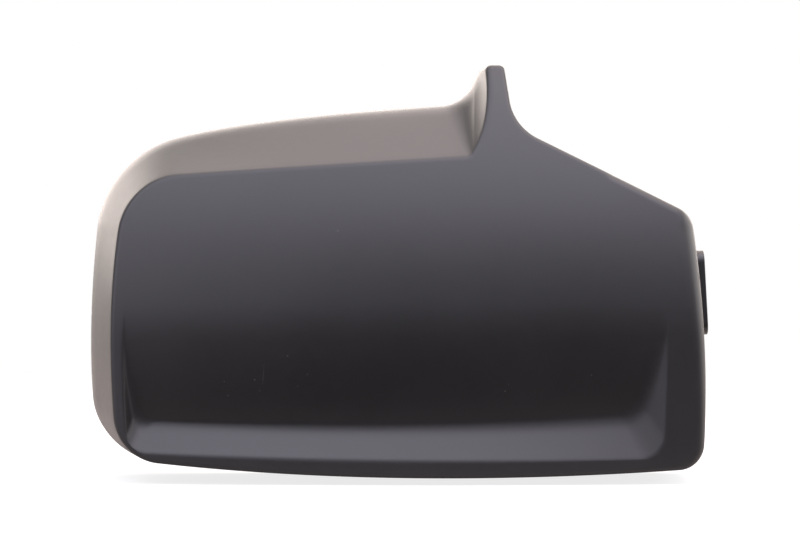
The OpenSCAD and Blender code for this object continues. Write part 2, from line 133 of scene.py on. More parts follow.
SHOULDER = [
    [-HALF_W - FLARE_LEFT, LEFT_H * 0.52, 0],
    [-TOP_X - FLARE_LEFT + 0.5, LEFT_H + FLARE_CORNER, LEFT_CORNER_R + 22],
    [-TOP_X * 0.57, LEFT_H + FLARE_CORNER + 19.5, 0],
    [ROOT_X - 1.9, ROOT_LEFT_H + FLARE_TOP + 0.3, ROOT_LEFT_R + 16],
    [HORN_X - 7.9, HORN_TOP - 4.6, 0],
    [HORN_LEFT - 1.2, HORN_TOP - 0.8, HORN_TIP_R + 0.3],
    [HORN_RIGHT + 0.8, HORN_TOP - 0.8, HORN_TIP_R + 0.3],
    [HORN_X + 10.3, ROOT_RIGHT_H + DRAFT / 2, ROOT_RIGHT_R],
    [TOP_X + DRAFT + 0.7, RIGHT_H + DRAFT / 2, RIGHT_CORNER_R + 0.5],
    [HALF_W + DRAFT, RIGHT_H / 2, 0],
    [SILL_CORNER_X + DRAFT, SILL_RIGHT_RISE - DRAFT, SILL_RIGHT_R + 1],
    [SILL_SOFT_X, -DRAFT, 0],
    [-HALF_W + 4.6 - FLARE_LEFT, SILL_LEFT_RISE - DRAFT + 1, SILL_LEFT_R + 10],
]
LIP = [
    [LIP_LEFT_X, LEFT_H * 0.54, 0],
    [-TOP_X + 5.5, LEFT_H - 5.5, LEFT_CORNER_R - 4],
    [(ROOT_X - TOP_X) / 2, (LEFT_H + ROOT_LEFT_H) / 2 - 5.3, 0],
    [ROOT_X + 2.0, ROOT_LEFT_H - 6, ROOT_LEFT_R + 7],
    [NECK_X + 3.4, ROOT_LEFT_H + NECK_RISE - 2, 0],
    [HORN_X + 0.2, HORN_TOP - 8, 0.6],
    [HORN_X + 1.8, HORN_TOP - 8, 0.6],
    [HORN_X + 5.3, ROOT_RIGHT_H - 4.6, ROOT_RIGHT_R + 5],
    [TOP_X - 9.7, RIGHT_H - 4, RIGHT_CORNER_R + 3.5],
    [LIP_RIGHT_X + 1.4, RIGHT_H / 2, 0],
    [LIP_RIGHT_X - 0.9, STRIP_SILL + 2.8, LIP_R + 2],
    [0, STRIP_SILL, 0],
    [LIP_LEFT_X + 4.9, STRIP_SILL + 5.9, LIP_R],
]
FOOT = [
    [LIP_LEFT_X + 0.4, LEFT_H * 0.5, 0],
    [-TOP_X + 9.2, LEFT_H - 10, LEFT_CORNER_R - 7],
    [(ROOT_X - TOP_X) / 2, (LEFT_H + ROOT_LEFT_H) / 2 - 10.3, 0],
    [ROOT_X + 5.4, ROOT_LEFT_H - 12.5, ROOT_LEFT_R + 10],
    [HORN_X - 1, ROOT_LEFT_H + 4, 0],
    [HORN_X + 2.2, ROOT_RIGHT_H - 4, 1],
    [HORN_X + 4.2, ROOT_RIGHT_H - 4, 1],
    [HORN_X + 7.3, ROOT_RIGHT_H - 11, ROOT_RIGHT_R - 5],
    [TOP_X - 15.7, RIGHT_H - 7, RIGHT_CORNER_R + 5.5],
    [LIP_RIGHT_X + 5.4, RIGHT_H * 0.6, 0],
    [LIP_RIGHT_X - RECESS_RIGHT_RUN, FOOT_SILL + 6.8, FOOT_R + 9],
    [SILL_SOFT_X, FOOT_SILL - 1.7, 0],
    [LIP_LEFT_X + 2.8 + RECESS_LEFT_RUN, FOOT_SILL + 3.8, FOOT_R + 4],
]

# %% [markdown]
# ## From corners to rings of points
# Each outline becomes a ring with the same number of points, and the ring also keeps the direction
# in which the outline faces at each point. Arcs and bowed sides are worked out by formula, so the
# rings can be as fine as the render needs. A straight run between two arcs gets points of its own,
# because the flank behind it isn't straight and would otherwise be cut short.
#
# A round corner may use up just under half of the side before it, and as much of the side after
# it when the next corner is round too. Before a soft point nothing else needs that side, so the
# corner may use more of it.

# %% Rings of points
STRETCH = [32, 34, 24, 20, 26, 14, 14, 30, 28, 30, 28, 60, 34]
LINK = [0, 0, 0, 0, 0, 4, 8, 26, 0, 0, 0, 0, 0]
AROUND = sum(STRETCH) + sum(LINK)
SHARED_SIDE, FREE_SIDE = 0.48, 0.85


def unit(v):
    return v / np.maximum(np.linalg.norm(v, axis=-1, keepdims=True), 1e-9)


def bezier(a, b, c, s):
    return (1 - s) ** 2 * a + 2 * s * (1 - s) * b + s * s * c


def arc(before, corner, after, run, count):
    """Points and outward directions of a round corner that starts run before the corner."""
    u, v = unit(before - corner), unit(after - corner)
    half = math.acos(np.clip(u @ v, -1, 1)) / 2
    radius = run * math.tan(half)
    centre = corner + unit(u + v) * radius / math.sin(half)
    first, last = corner + u * run - centre, corner + v * run - centre
    start = math.atan2(first[1], first[0])
    turn = (math.atan2(last[1], last[0]) - start + math.pi) % (2 * math.pi) - math.pi
    angle = start + turn * np.linspace(0, 1, count)
    way = np.column_stack([np.cos(angle), np.sin(angle)])
    return centre + radius * way, way if turn < 0 else -way


def bow(start, soft, end, count):
    """Points and outward directions of a side that bows through its soft point."""
    s = (np.arange(count)[:, None] + 1) / (count + 1)
    tangent = unit((1 - s) * (soft - start) + s * (end - soft))
    return bezier(start, soft, end, s), np.column_stack([-tangent[:, 1], tangent[:, 0]])


def straight(start, end, count):
    """Points and outward directions of a straight run, without its ends."""
    s = (np.arange(count)[:, None] + 1) / (count + 1)
    tangent = unit(end - start)
    return start + (end - start) * s, np.tile([-tangent[1], tangent[0]], (count, 1))


def ring(corners):
    places = [np.array(c[:2], float) for c in corners]
    count = len(places)
    runs = []
    for i, (_, _, radius) in enumerate(corners):
        a, b, c = places[i - 1], places[i], places[(i + 1) % count]
        half = math.acos(np.clip(unit(a - b) @ unit(c - b), -1, 1)) / 2
        after = SHARED_SIDE if corners[(i + 1) % count][2] else FREE_SIDE
        room = min(SHARED_SIDE * np.linalg.norm(a - b), after * np.linalg.norm(c - b))
        runs.append(min(radius / math.tan(half), room) if radius else 0)
    points, ways = [], []
    for i in range(count):
        a, b, c = places[i - 1], places[i], places[(i + 1) % count]
        follow = c + unit(b - c) * runs[(i + 1) % count]
        if runs[i]:
            leave = b + unit(c - b) * runs[i]
            parts = [arc(a, b, c, runs[i], STRETCH[i]), straight(leave, follow, LINK[i])]
        else:
            parts = [bow(a + unit(b - a) * runs[i - 1], b, follow, STRETCH[i])]
        points += [p for p, _ in parts]
        ways += [w for _, w in parts]
    return np.vstack(points), np.vstack(ways)


face, face_way = ring(FACE)
shoulder, shoulder_way = ring(SHOULDER)
lip, _ = ring(LIP)
foot, _ = ring(FOOT)
print("each ring has", AROUND, "points")

# %% [markdown]
# ## The front surface
# The face is nearly flat low down, tips back above a certain height as a car's panel does, and is
# bowed very slightly across. Inside the recess it sinks in towards the sill. Both are gentle
# parabolas, so a point's depth follows from its place, and light runs over the face without a
# kink. A ring on the face is kept as x, z and the extra depth below the plain surface.

# %% Depth of the face


def plain_depth(p):
    return np.maximum(p[:, 1] - CROWN_Z, 0) ** 2 / (2 * CROWN_R) + p[:, 0] ** 2 / (2 * BOW_R)


def sunk(p):
    return np.maximum(RECESS_Z - p[:, 1], 0) ** 2 / (2 * RECESS_R)


def placed(flat_ring, back=0.0):
    """A ring of x, z and extra depth as points in space: x, depth, z."""
    depth = plain_depth(flat_ring) + flat_ring[:, 2] + back
    return np.column_stack([flat_ring[:, 0], depth, flat_ring[:, 1]])


def with_depth(p, extra=0.0):
    return np.column_stack([p, np.broadcast_to(extra, len(p))])


def toward(a, b, reach, most=0.45):
    """The points reach from a towards b, at most a share of the way."""
    gap = np.linalg.norm(b - a, axis=1, keepdims=True)
    return a + (b - a) * np.minimum(most, np.reshape(reach, (-1, 1)) / np.maximum(gap, 1e-6))


def between(a, b, count):
    return [a + (b - a) * k / (count + 1) for k in range(1, count + 1)]


def rounded(a, b, c, count):
    return [bezier(a, b, c, k / (count + 1)) for k in range(1, count + 1)]


pole = np.array([[HORN_X + 0.8, RECESS_Z - 1]])
SINK_RINGS, NEAR_SHARE = 30, 0.12
FOOT_MOST, LIP_MOST = 0.36, 0.3
HORN_FADE = 15.0

lip_line, foot_line = with_depth(lip), with_depth(foot, sunk(foot))
near_foot = foot + (pole - foot) * NEAR_SHARE
foot_in = toward(foot, near_foot, FOOT_BLEND)
foot_in = with_depth(foot_in, sunk(foot_in))
foot_out = toward(foot_line, lip_line, FOOT_BLEND, FOOT_MOST)
lip_in = toward(lip_line, foot_line, LIP_BLEND, LIP_MOST)


def side_edge(z):
    """The softer edge down the right side, whose radius grows with height."""
    return SIDE_EDGE_LOW_R + (SIDE_EDGE_HIGH_R - SIDE_EDGE_LOW_R) * np.clip(z / RIGHT_H, 0, 1)


softer = (side_edge(face[:, 1]) - EDGE_R) * np.maximum(face_way[:, 0], 0) ** 2
edge_r = EDGE_R + np.where(face[:, 0] > (HORN_RIGHT + HALF_W) / 2, softer, 0)
up_horn = np.clip((face[:, 1] - ROOT_LEFT_H) / HORN_FADE, 0, 1) * np.maximum(-face_way[:, 0], 0)
edge_r = edge_r + np.where(face[:, 0] > ROOT_X, up_horn * HORN_SOFT, 0)
face_in = with_depth(face - face_way * edge_r[:, None])
lip_out = toward(lip_line, face_in, LIP_BLEND)


def sink_ring(s):
    p = foot_in[:, :2] + (pole - foot_in[:, :2]) * s
    return with_depth(p, sunk(p))


front = [sink_ring(1.0 - k / SINK_RINGS) for k in range(SINK_RINGS)]
front += [foot_in, *rounded(foot_in, foot_line, foot_out, 6), foot_out]
front += [*between(foot_out, lip_in, 8), lip_in]
front += [*rounded(lip_in, lip_line, lip_out, 4), lip_out]
front += [*between(lip_out, face_in, 4), face_in]
front = [placed(r) for r in front]
print(len(front), "rings on the face")

# %% [markdown]
# ## The flanks, the rim and the inside
# Behind the sharp front edge the flanks flare out to a soft shoulder and then run nearly straight
# back to the open rim. The rim has a rebate, into which the mirror's frame fits. The inside follows
# the outside at the wall's thickness, with fewer rings because its form is calmer.

# %% Rings behind the face


def at_shoulder(inset=0.0):
    return np.column_stack([shoulder[:, 0] - shoulder_way[:, 0] * inset,
                            np.full(AROUND, DEPTH - SKIRT + inset / 2),
                            shoulder[:, 1] - shoulder_way[:, 1] * inset])


def at_rim(inset=0.0, up=0.0):
    left_draft = SKIRT_LEFT_DRAFT * np.maximum(-shoulder_way[:, 0], 0) ** 2
    out = SKIRT_DRAFT + np.where(shoulder[:, 0] < 0, left_draft, 0) - inset
    return np.column_stack([shoulder[:, 0] + shoulder_way[:, 0] * out,
                            np.full(AROUND, DEPTH - up),
                            shoulder[:, 1] + shoulder_way[:, 1] * out])


RIM_ROUND, REBATE_ROUND = 0.35, 0.15
crease = placed(with_depth(face))
wide = at_shoulder()
band_start = toward(crease, wide, edge_r)
band_end = toward(wide, crease, SHOULDER_BLEND)
skirt_start = toward(wide, at_rim(), SHOULDER_BLEND)

flank = [*rounded(front[-1], crease, band_start, 6), band_start]
flank += [*between(band_start, band_end, 10), band_end]
flank += [*rounded(band_end, wide, skirt_start, 12), skirt_start]
flank += [*between(skirt_start, at_rim(0, RIM_ROUND), 2), at_rim(0, RIM_ROUND)]
flank += [*rounded(at_rim(0, RIM_ROUND), at_rim(), at_rim(RIM_ROUND), 2), at_rim(RIM_ROUND)]
rebate = [at_rim(REBATE_T - REBATE_ROUND), at_rim(REBATE_T, REBATE_ROUND)]
rebate += [at_rim(REBATE_T, REBATE_H), at_rim(WALL, REBATE_H)]

INNER_BACK = WALL * 1.08
inner_rim = rebate[-1]
inner_wide = at_shoulder(WALL)
crease_in = (WALL + 0.2 * (edge_r - EDGE_R))[:, None]
inner_crease = placed(with_depth(face - face_way * crease_in, crease_in[:, 0] * 1.1))
inner_skirt = toward(inner_wide, inner_rim, SHOULDER_BLEND)
inner_band = toward(inner_wide, inner_crease, SHOULDER_BLEND)
gap_to_lip = ((face - lip) * face_way).sum(axis=1)
inner_lip = toward(lip, foot, np.maximum(WALL, WALL + 2 - gap_to_lip))
share = np.linalg.norm(inner_lip - lip, axis=1) / np.linalg.norm(foot - lip, axis=1)
inner_lip = placed(with_depth(inner_lip, sunk(foot) * share), INNER_BACK)
inner_foot = placed(foot_line, INNER_BACK)

inside = [inner_skirt, *rounded(inner_skirt, inner_wide, inner_band, 5), inner_band]
inside += [*between(inner_band, inner_crease, 6), inner_crease]
inside += [*between(inner_crease, inner_lip, 2), inner_lip]
inside += [*between(inner_lip, inner_foot, 4), inner_foot]
for share in (0.1, 0.25, 0.4, 0.55, 0.7, 0.85, 1.0):
    flat_ring = foot + (pole - foot) * share
    inside.append(placed(with_depth(flat_ring, sunk(flat_ring)), INNER_BACK))
rings = front + flank + rebate + inside
print(len(rings), "rings in all")

# %% [markdown]
# ## Skinning the rings
# A grid is added with one column for each point of a ring and one row for each ring. Its points are
# moved onto the rings, which wraps it round the form like a sheet, and its two ends meet in the
# middle of the face, outside and inside. Merging the points that coincide closes the seam and both
# poles. The drawing's sizes become metres, and its origin moves to where the CAD box puts it.

# %% Skin the shell
outer = np.vstack(rings)
ORIGIN = np.array([cad_low[0] - outer[:, 0].min() / 1000,
                   cad_high[1] - DEPTH / 1000,
                   cad_low[2] - outer[:, 2].min() / 1000])
SAME_PLACE = 2e-7
print("drawing's origin at", np.round(ORIGIN, 5))


def metres(points):
    return np.asarray(points, float) / 1000 + ORIGIN


def only(piece):
    bpy.ops.object.select_all(action="DESELECT")
    piece.select_set(True)
    bpy.context.view_layer.objects.active = piece


def pick_faces(piece, wanted):
    """Selects only the faces of piece for which wanted is true, and leaves it in edit mode."""
    only(piece)
    bpy.ops.object.mode_set(mode="EDIT")
    bpy.ops.mesh.select_mode(type="FACE")
    bpy.ops.mesh.select_all(action="DESELECT")
    bpy.ops.object.mode_set(mode="OBJECT")
    for polygon in piece.data.polygons:
        polygon.select = wanted(polygon)
    bpy.ops.object.mode_set(mode="EDIT")


def pick_edges(piece, wanted):
    """Selects only the edges of piece whose run is wanted, and leaves it in edit mode."""
    only(piece)
    bpy.ops.object.mode_set(mode="EDIT")
    bpy.ops.mesh.select_mode(type="EDGE")
    bpy.ops.mesh.select_all(action="DESELECT")
    bpy.ops.object.mode_set(mode="OBJECT")
    points = piece.data.vertices
    for edge in piece.data.edges:
        edge.select = wanted(points[edge.vertices[1]].co - points[edge.vertices[0]].co)
    bpy.ops.object.mode_set(mode="EDIT")


def finish_mesh(piece, merge=None):
    """Merges points that coincide and turns all faces outwards."""
    only(piece)
    bpy.ops.object.mode_set(mode="EDIT")
    bpy.ops.mesh.select_all(action="SELECT")
    if merge:
        bpy.ops.mesh.remove_doubles(threshold=merge)
    bpy.ops.mesh.normals_make_consistent(inside=False)
    bpy.ops.object.mode_set(mode="OBJECT")


def skin(name, rings):
    bpy.ops.object.select_all(action="DESELECT")
    bpy.ops.mesh.primitive_grid_add(x_subdivisions=AROUND, y_subdivisions=len(rings) - 1, size=1)
    piece = bpy.context.object
    piece.name = name
    closed = [np.vstack([r, r[:1]]) for r in rings]
    piece.data.vertices.foreach_set("co", metres(np.vstack(closed)).ravel())
    finish_mesh(piece, SAME_PLACE)
    return piece


cover = skin("cover_moulding", rings)
print("shell has", len(cover.data.polygons), "faces")

# %% [markdown]
# ## Plates for ribs, catches and the collar
# Inside, a moulding like this is stiffened by thin ribs and held by screw bosses and snap catches.
# All of them but the bosses are plates with some outline, so one helper makes them: it adds a
# filled circle with as many corners as the outline has, moves its corners into place, and extrudes
# the face by the plate's thickness. Their front edges end inside the wall and fuse with it later.

# %% A plate by outline
RIB_T, RIB_BACK, RIB_PITCH, RIB_PAIRS = 1.8, 27.0, 48.0, 2
RIB_LOW_Z, RIB_HIGH_Z = 56.0, 112.0
RIB_STEPS = 28


def plate(name, corners, thickness):
    """A plate from corners in space, extruded along the vector thickness. Both in millimetres."""
    bpy.ops.object.select_all(action="DESELECT")
    bpy.ops.mesh.primitive_circle_add(vertices=len(corners), radius=1, fill_type="NGON")
    piece = bpy.context.object
    piece.name = name
    piece.data.vertices.foreach_set("co", metres(corners).ravel())
    bpy.ops.object.mode_set(mode="EDIT")
    bpy.ops.mesh.select_all(action="SELECT")
    bpy.ops.mesh.extrude_region_move(TRANSFORM_OT_translate={"value": tuple(v / 1000 for v in thickness)})
    bpy.ops.object.mode_set(mode="OBJECT")
    finish_mesh(piece)
    return piece


# %% [markdown]
# ## Ribs
# Five upright ribs and two level ones make a grid on the back of the face. Each follows the face's
# depth in front, ends in the flanks, and has one straight back edge. Where a rib meets a flank is
# read off the same crease and shoulder rings that made the flank.

# %% Ribs
LEDGE_Z, FOOT_Z = STRIP_SILL + 2.5, STRIP_SILL + LEDGE_RUN + 0.5


def wall_depth(x, z):
    """Depth of the middle of the wall behind the face and its ledge."""
    def recessed(height):
        p = np.array([[x, height]])
        return float((plain_depth(p) + sunk(p))[0])

    if z < FOOT_Z:
        share = max(z - LEDGE_Z, 0) / (FOOT_Z - LEDGE_Z)
        plain = float(plain_depth(np.array([[x, z]]))[0])
        return WALL / 2 + plain + (recessed(FOOT_Z) - plain) * share
    return WALL / 2 + recessed(z)


def flank_at(depth):
    """The flank's middle line at a depth, as x and z for every point of the rings."""
    share = (depth - crease[:, 1]) / (wide[:, 1] - crease[:, 1])
    line = crease + (wide - crease) * share[:, None]
    return np.column_stack([line[:, 0], line[:, 2]]) - face_way * WALL / 2


def stretch(k):
    """The places in a ring of stretch k and of the straight run after it."""
    first = sum(STRETCH[:k]) + sum(LINK[:k])
    return list(range(first, first + STRETCH[k] + LINK[k]))


def side_x(side, depth, z):
    left = stretch(12)[10:] + stretch(0) + stretch(1)[:15]
    right = stretch(8)[15:] + stretch(9) + stretch(10)[:14]
    line = flank_at(depth)[left if side < 0 else right]
    order = np.argsort(line[:, 1])
    return float(np.interp(z, line[order, 1], line[order, 0]))


def top_z(x, depth):
    top, slope = stretch(1)[15:] + stretch(2) + stretch(3)[:2], stretch(7)[24:] + stretch(8)[:10]
    line = flank_at(depth)[top if x < HORN_X else slope]
    order = np.argsort(line[:, 0])
    return float(np.interp(x, line[order, 0], line[order, 1]))


def upright_rib(x):
    top = top_z(x, wall_depth(x, LEFT_H))
    heights = [LEDGE_Z, *np.linspace(FOOT_Z, top, RIB_STEPS)]
    edge = [(x - RIB_T / 2, wall_depth(x, z), z) for z in heights]
    edge += [(x - RIB_T / 2, RIB_BACK, top_z(x, RIB_BACK)), (x - RIB_T / 2, RIB_BACK, LEDGE_Z)]
    return plate("rib_upright", edge, (RIB_T, 0, 0))


def level_rib(z):
    cut = 0.4 * side_edge(z)
    right_y = wall_depth(HALF_W, z) + cut
    left, right = side_x(-1, wall_depth(-HALF_W, z), z), side_x(1, right_y, z)
    edge = [(x, wall_depth(x, z)) for x in np.linspace(left, right - cut, RIB_STEPS)]
    edge += [(right, right_y), (side_x(1, RIB_BACK, z), RIB_BACK), (side_x(-1, RIB_BACK, z), RIB_BACK)]
    return plate("rib_level", [(x, y, z - RIB_T / 2) for x, y in edge], (0, 0, RIB_T))


features = [upright_rib(k * RIB_PITCH) for k in range(-RIB_PAIRS, RIB_PAIRS + 1)]
features += [level_rib(z) for z in (RIB_LOW_Z, RIB_HIGH_Z)]
print(len(features), "ribs")

# %% [markdown]
# ## Screw bosses
# Where the outer upright ribs cross the level ones, a round boss takes a screw. A cylinder is added
# at its size, its back end is inset to the bore's edge, and the inner face is pushed in to the
# bore's depth. That gives a real blind hole with no boolean.

# %% Bosses
BOSS_D, BORE_D, BORE_L, BOSS_BACK = 9.0, 3.5, 18.0, 46.0
BOSS_EDGE, BORE_EDGE, BOSS_SIDES = 0.4, 0.3, 64


def boss(x, z):
    front = wall_depth(x, z)
    bpy.ops.object.select_all(action="DESELECT")
    middle = metres([x, (front + BOSS_BACK) / 2, z])
    bpy.ops.mesh.primitive_cylinder_add(vertices=BOSS_SIDES, radius=BOSS_D / 2000,
                                        depth=(BOSS_BACK - front) / 1000, location=middle,
                                        rotation=(math.radians(-90), 0, 0))
    piece = bpy.context.object
    piece.name = "screw_boss"
    bpy.ops.object.transform_apply(location=True, rotation=True, scale=True)
    pick_faces(piece, lambda polygon: polygon.normal.y > 0.9)
    bpy.ops.mesh.inset(thickness=BOSS_EDGE / 1000, depth=0)
    bpy.ops.mesh.inset(thickness=(BOSS_D / 2 - BOSS_EDGE - BORE_D / 2 - BORE_EDGE) / 1000, depth=0)
    bpy.ops.mesh.inset(thickness=BORE_EDGE / 1000, depth=-BORE_EDGE / 1000)
    inwards = (0, -(BORE_L - BORE_EDGE) / 1000, 0)
    bpy.ops.mesh.extrude_region_move(TRANSFORM_OT_translate={"value": inwards})
    bpy.ops.object.mode_set(mode="OBJECT")
    finish_mesh(piece)
    return piece


features += [boss(side * RIB_PAIRS * RIB_PITCH, z) for side in (-1, 1) for z in (RIB_LOW_Z, RIB_HIGH_Z)]
print("bosses at", RIB_LOW_Z, "and", RIB_HIGH_Z, "mm")

# %% [markdown]
# ## Snap catches
# Eight wedges inside the skirt hold the frame that carries the mirror. Each is a plate whose
# outline is the wedge's section, extruded along the wall. Its ramp faces the open back, so that the
# frame slides over it, and its steep end faces forward and holds.

# %% Catches
CATCH_W, CATCH_H, CATCH_L = 12.0, 1.8, 7.0
CATCHES = [(0, 3 / 9), (0, 6 / 9), (2, 1 / 6), (2, 3 / 6), (2, 5 / 6),
           (11, 3 / 15), (11, 7 / 15), (11, 12 / 15)]
SEAT, CATCH_TOE, CATCH_RAMP = WALL * 0.3, 0.4, 0.6


def catch(side, share):
    i = stretch(side)[round(share * (STRETCH[side] + 1)) - 1]
    out = np.array([shoulder_way[i, 0], 0, shoulder_way[i, 1]])
    along = np.array([-out[2], 0, out[0]])
    seat = at_rim(WALL - SEAT, REBATE_H + 1)[i] - along * CATCH_W / 2
    left_draft = SKIRT_LEFT_DRAFT * max(-out[0], 0) ** 2 if shoulder[i, 0] < 0 else 0
    slope = (SKIRT_DRAFT + left_draft) / SKIRT
    top = SEAT + CATCH_H
    section = [(0, 0), (0, SEAT + CATCH_TOE), (CATCH_L * CATCH_RAMP, top), (CATCH_L, top), (CATCH_L, 0)]
    edge = [seat - out * (up + slope * fore) - np.array([0, fore, 0]) for fore, up in section]
    return plate("snap_catch", edge, along * CATCH_W)


features += [catch(side, share) for side, share in CATCHES]
print(len(CATCHES), "catches")

# %% [markdown]
# ## Arm opening
# The mirror's arm passes through the right flank, inside a shallow collar that stands out from it.
# A cube at the collar's size has its four long edges bevelled to round corners. A smaller one of
# the same kind cuts the way through the collar and the wall at once, so both keep one opening.

# %% Collar
ARM_H, ARM_L, ARM_Z, ARM_BACK, ARM_PROUD, ARM_LEAN, ARM_R = 42.0, 34.0, 94.0, 8.0, 3.1, 3.0, 6.0
COLLAR_ROUND = 0.5
COLLAR_DEEP, CUT_DEEP = ARM_PROUD + 1.5 * WALL, 14.0
FURTHEST_X = (cad_high[0] - ORIGIN[0]) * 1000
ARM_X = FURTHEST_X - ARM_H / 2 * math.sin(math.radians(ARM_LEAN))


def rounded_block(name, length, height, radius, inner, outer, rim=0.0):
    """A block on the right flank with round corners, from inner to outer along the collar's axis."""
    bpy.ops.object.select_all(action="DESELECT")
    bpy.ops.mesh.primitive_cube_add(size=1)
    piece = bpy.context.object
    piece.name = name
    piece.scale = ((outer - inner) / 1000, length / 1000, height / 1000)
    piece.location = ((outer + inner) / 2000, 0, 0)
    bpy.ops.object.transform_apply(location=True, rotation=True, scale=True)
    pick_edges(piece, lambda run: abs(run.y) < 1e-6 and abs(run.z) < 1e-6)
    bpy.ops.mesh.bevel(offset=radius / 1000, segments=10, affect="EDGES")
    bpy.ops.object.mode_set(mode="OBJECT")
    if rim:
        pick_faces(piece, lambda polygon: polygon.normal.x > 0.9)
        bpy.ops.mesh.bevel(offset=rim / 1000, segments=4, affect="EDGES")
        bpy.ops.object.mode_set(mode="OBJECT")
    piece.rotation_euler = (0, -math.radians(ARM_LEAN), 0)
    piece.location = metres([ARM_X, DEPTH - ARM_BACK - ARM_L / 2, ARM_Z])
    bpy.ops.object.transform_apply(location=True, rotation=True, scale=True)
    return piece


features.append(rounded_block("collar", ARM_L, ARM_H, ARM_R, -COLLAR_DEEP, 0, COLLAR_ROUND))
arm_way = rounded_block("arm_way", ARM_L - 2 * WALL, ARM_H - 2 * WALL, ARM_R - WALL,
                        -CUT_DEEP, CUT_DEEP)
print("collar's middle at x", round(ARM_X, 2))

# %% [markdown]
# ## One moulding
# The real cover comes out of its tool in one piece, so the parts are fused into one closed surface.
# Boolean modifiers add each feature to the shell and then cut the arm's way. Smooth shading with
# an angle keeps the broad surfaces soft and the real edges crisp.

# %% Fuse and shade
CRISP_FROM = 32


def combine(piece, other, how):
    only(piece)
    joint = piece.modifiers.new("fuse", "BOOLEAN")
    joint.operation, joint.solver, joint.object = how, "MANIFOLD", other
    bpy.ops.object.modifier_apply(modifier=joint.name)
    bpy.data.objects.remove(other)


for feature in features:
    combine(cover, feature, "UNION")
combine(cover, arm_way, "DIFFERENCE")
only(cover)
bpy.ops.object.shade_smooth_by_angle(angle=math.radians(CRISP_FROM))
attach(cover, BODY)
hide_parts(NODE)
print("moulding has", len(cover.data.polygons), "faces")

# %% [markdown]
# ## Writing shaders as arithmetic
# A finish is worked out from masks and noises, and that reads best as plain sums. The small class
# below wraps a socket, so that an expression such as 1 - mask adds the Math node it needs.

# %% A shader's wires


class Wire:
    """A value on its way through a shader. Arithmetic on it adds Math nodes."""

    def __init__(self, sheet, socket):
        self.sheet, self.socket = sheet, socket

    def math(self, operation, *values):
        return self.sheet.add("ShaderNodeMath", {"operation": operation}, dict(enumerate(values)))

    def __add__(self, other):
        return self.math("ADD", self, other)

    def __sub__(self, other):
        return self.math("SUBTRACT", self, other)

    def __rsub__(self, other):
        return self.math("SUBTRACT", other, self)

    def __mul__(self, other):
        return self.math("MULTIPLY", self, other)

    __radd__, __rmul__ = __add__, __mul__

    def fade(self, start, end):
        """0 at start and 1 at end, with a soft change between."""
        return self.sheet.add("ShaderNodeMapRange", {"interpolation_type": "SMOOTHSTEP"},
                              {"Value": self, "From Min": start, "From Max": end, "To Min": 0, "To Max": 1})


class Sheet:
    """The node tree of a material or of the world."""

    def __init__(self, owner):
        owner.use_nodes = True
        self.tree = owner.node_tree
        self.tree.nodes.clear()

    def add(self, kind, settings=None, inputs=None, out=0):
        node = self.tree.nodes.new(kind)
        for name, value in (settings or {}).items():
            setattr(node, name, value)
        for name, value in (inputs or {}).items():
            if isinstance(value, Wire):
                self.tree.links.new(value.socket, node.inputs[name])
            else:
                node.inputs[name].default_value = value
        return Wire(self, node.outputs[out]) if node.outputs else node

    def blend(self, share, first, second):
        """The first colour where share is 0, and the second where it is 1."""
        colours = {0: share, 6: first, 7: second}
        return self.add("ShaderNodeMix", {"data_type": "RGBA"}, colours, out=2)

    def axes(self, place):
        """The x, y and z of a vector's wire."""
        outputs = self.add("ShaderNodeSeparateXYZ", None, {0: place}).socket.node.outputs
        return tuple(Wire(self, outputs[k]) for k in range(3))


# %% [markdown]
# ## Satin black plastic
# The cover is moulded in black plastic with a satin surface: it mirrors the room only as a soft
# blur, and a very fine grain breaks the highlights. Its colour is nearly even. A slow drift in
# colour and roughness stands for handling and for the way the plastic filled its tool. A few faint
# specks, most of them low on the face, and one scratch are there because the real one shows them.
# A speck is given as x, z and radius in millimetres, and the scratch by its upper and lower end.

# %% The cover's finish
BLACK, BLACK_WORN = (0.0070, 0.0064, 0.0067, 1), (0.0100, 0.0092, 0.0096, 1)
DUST = (0.09, 0.09, 0.095, 1)
SPECKS = [(-27.4, 122.6, 0.5), (-51.5, 62.4, 0.45), (-42.0, 53.5, 0.4), (-67.5, 50.8, 0.5),
          (-82.2, 49.9, 0.4), (-80.5, 43.1, 0.45), (-65.1, 45.5, 0.35), (-46.7, 47.7, 0.35),
          (53.3, 45.3, 0.55), (54.8, 48.7, 0.35), (94.9, 53.0, 0.45)]
SCRATCH = ((-62.7, 59.8), (-63.8, 47.2))
SCRATCH_EDGES, SCRATCH_END, SCRATCH_BREAKS = (0.00022, 0.00008), 0.003, 900
GRAIN_SCALE, MOTTLE_SCALE, DRIFT_SCALE = 2400, 300, 14
ROUGHNESS, GRAIN_DEPTH = 0.40, 0.00003


def on_face(x, z):
    """A place on the recessed face, in the row's metres, from x and z in millimetres of the row."""
    drawn = np.array([[x, z]]) - np.array([[ORIGIN[0], ORIGIN[2]]]) * 1000
    depth = float((plain_depth(drawn) + sunk(drawn))[0])
    return (x / 1000, depth / 1000 + ORIGIN[1], z / 1000)


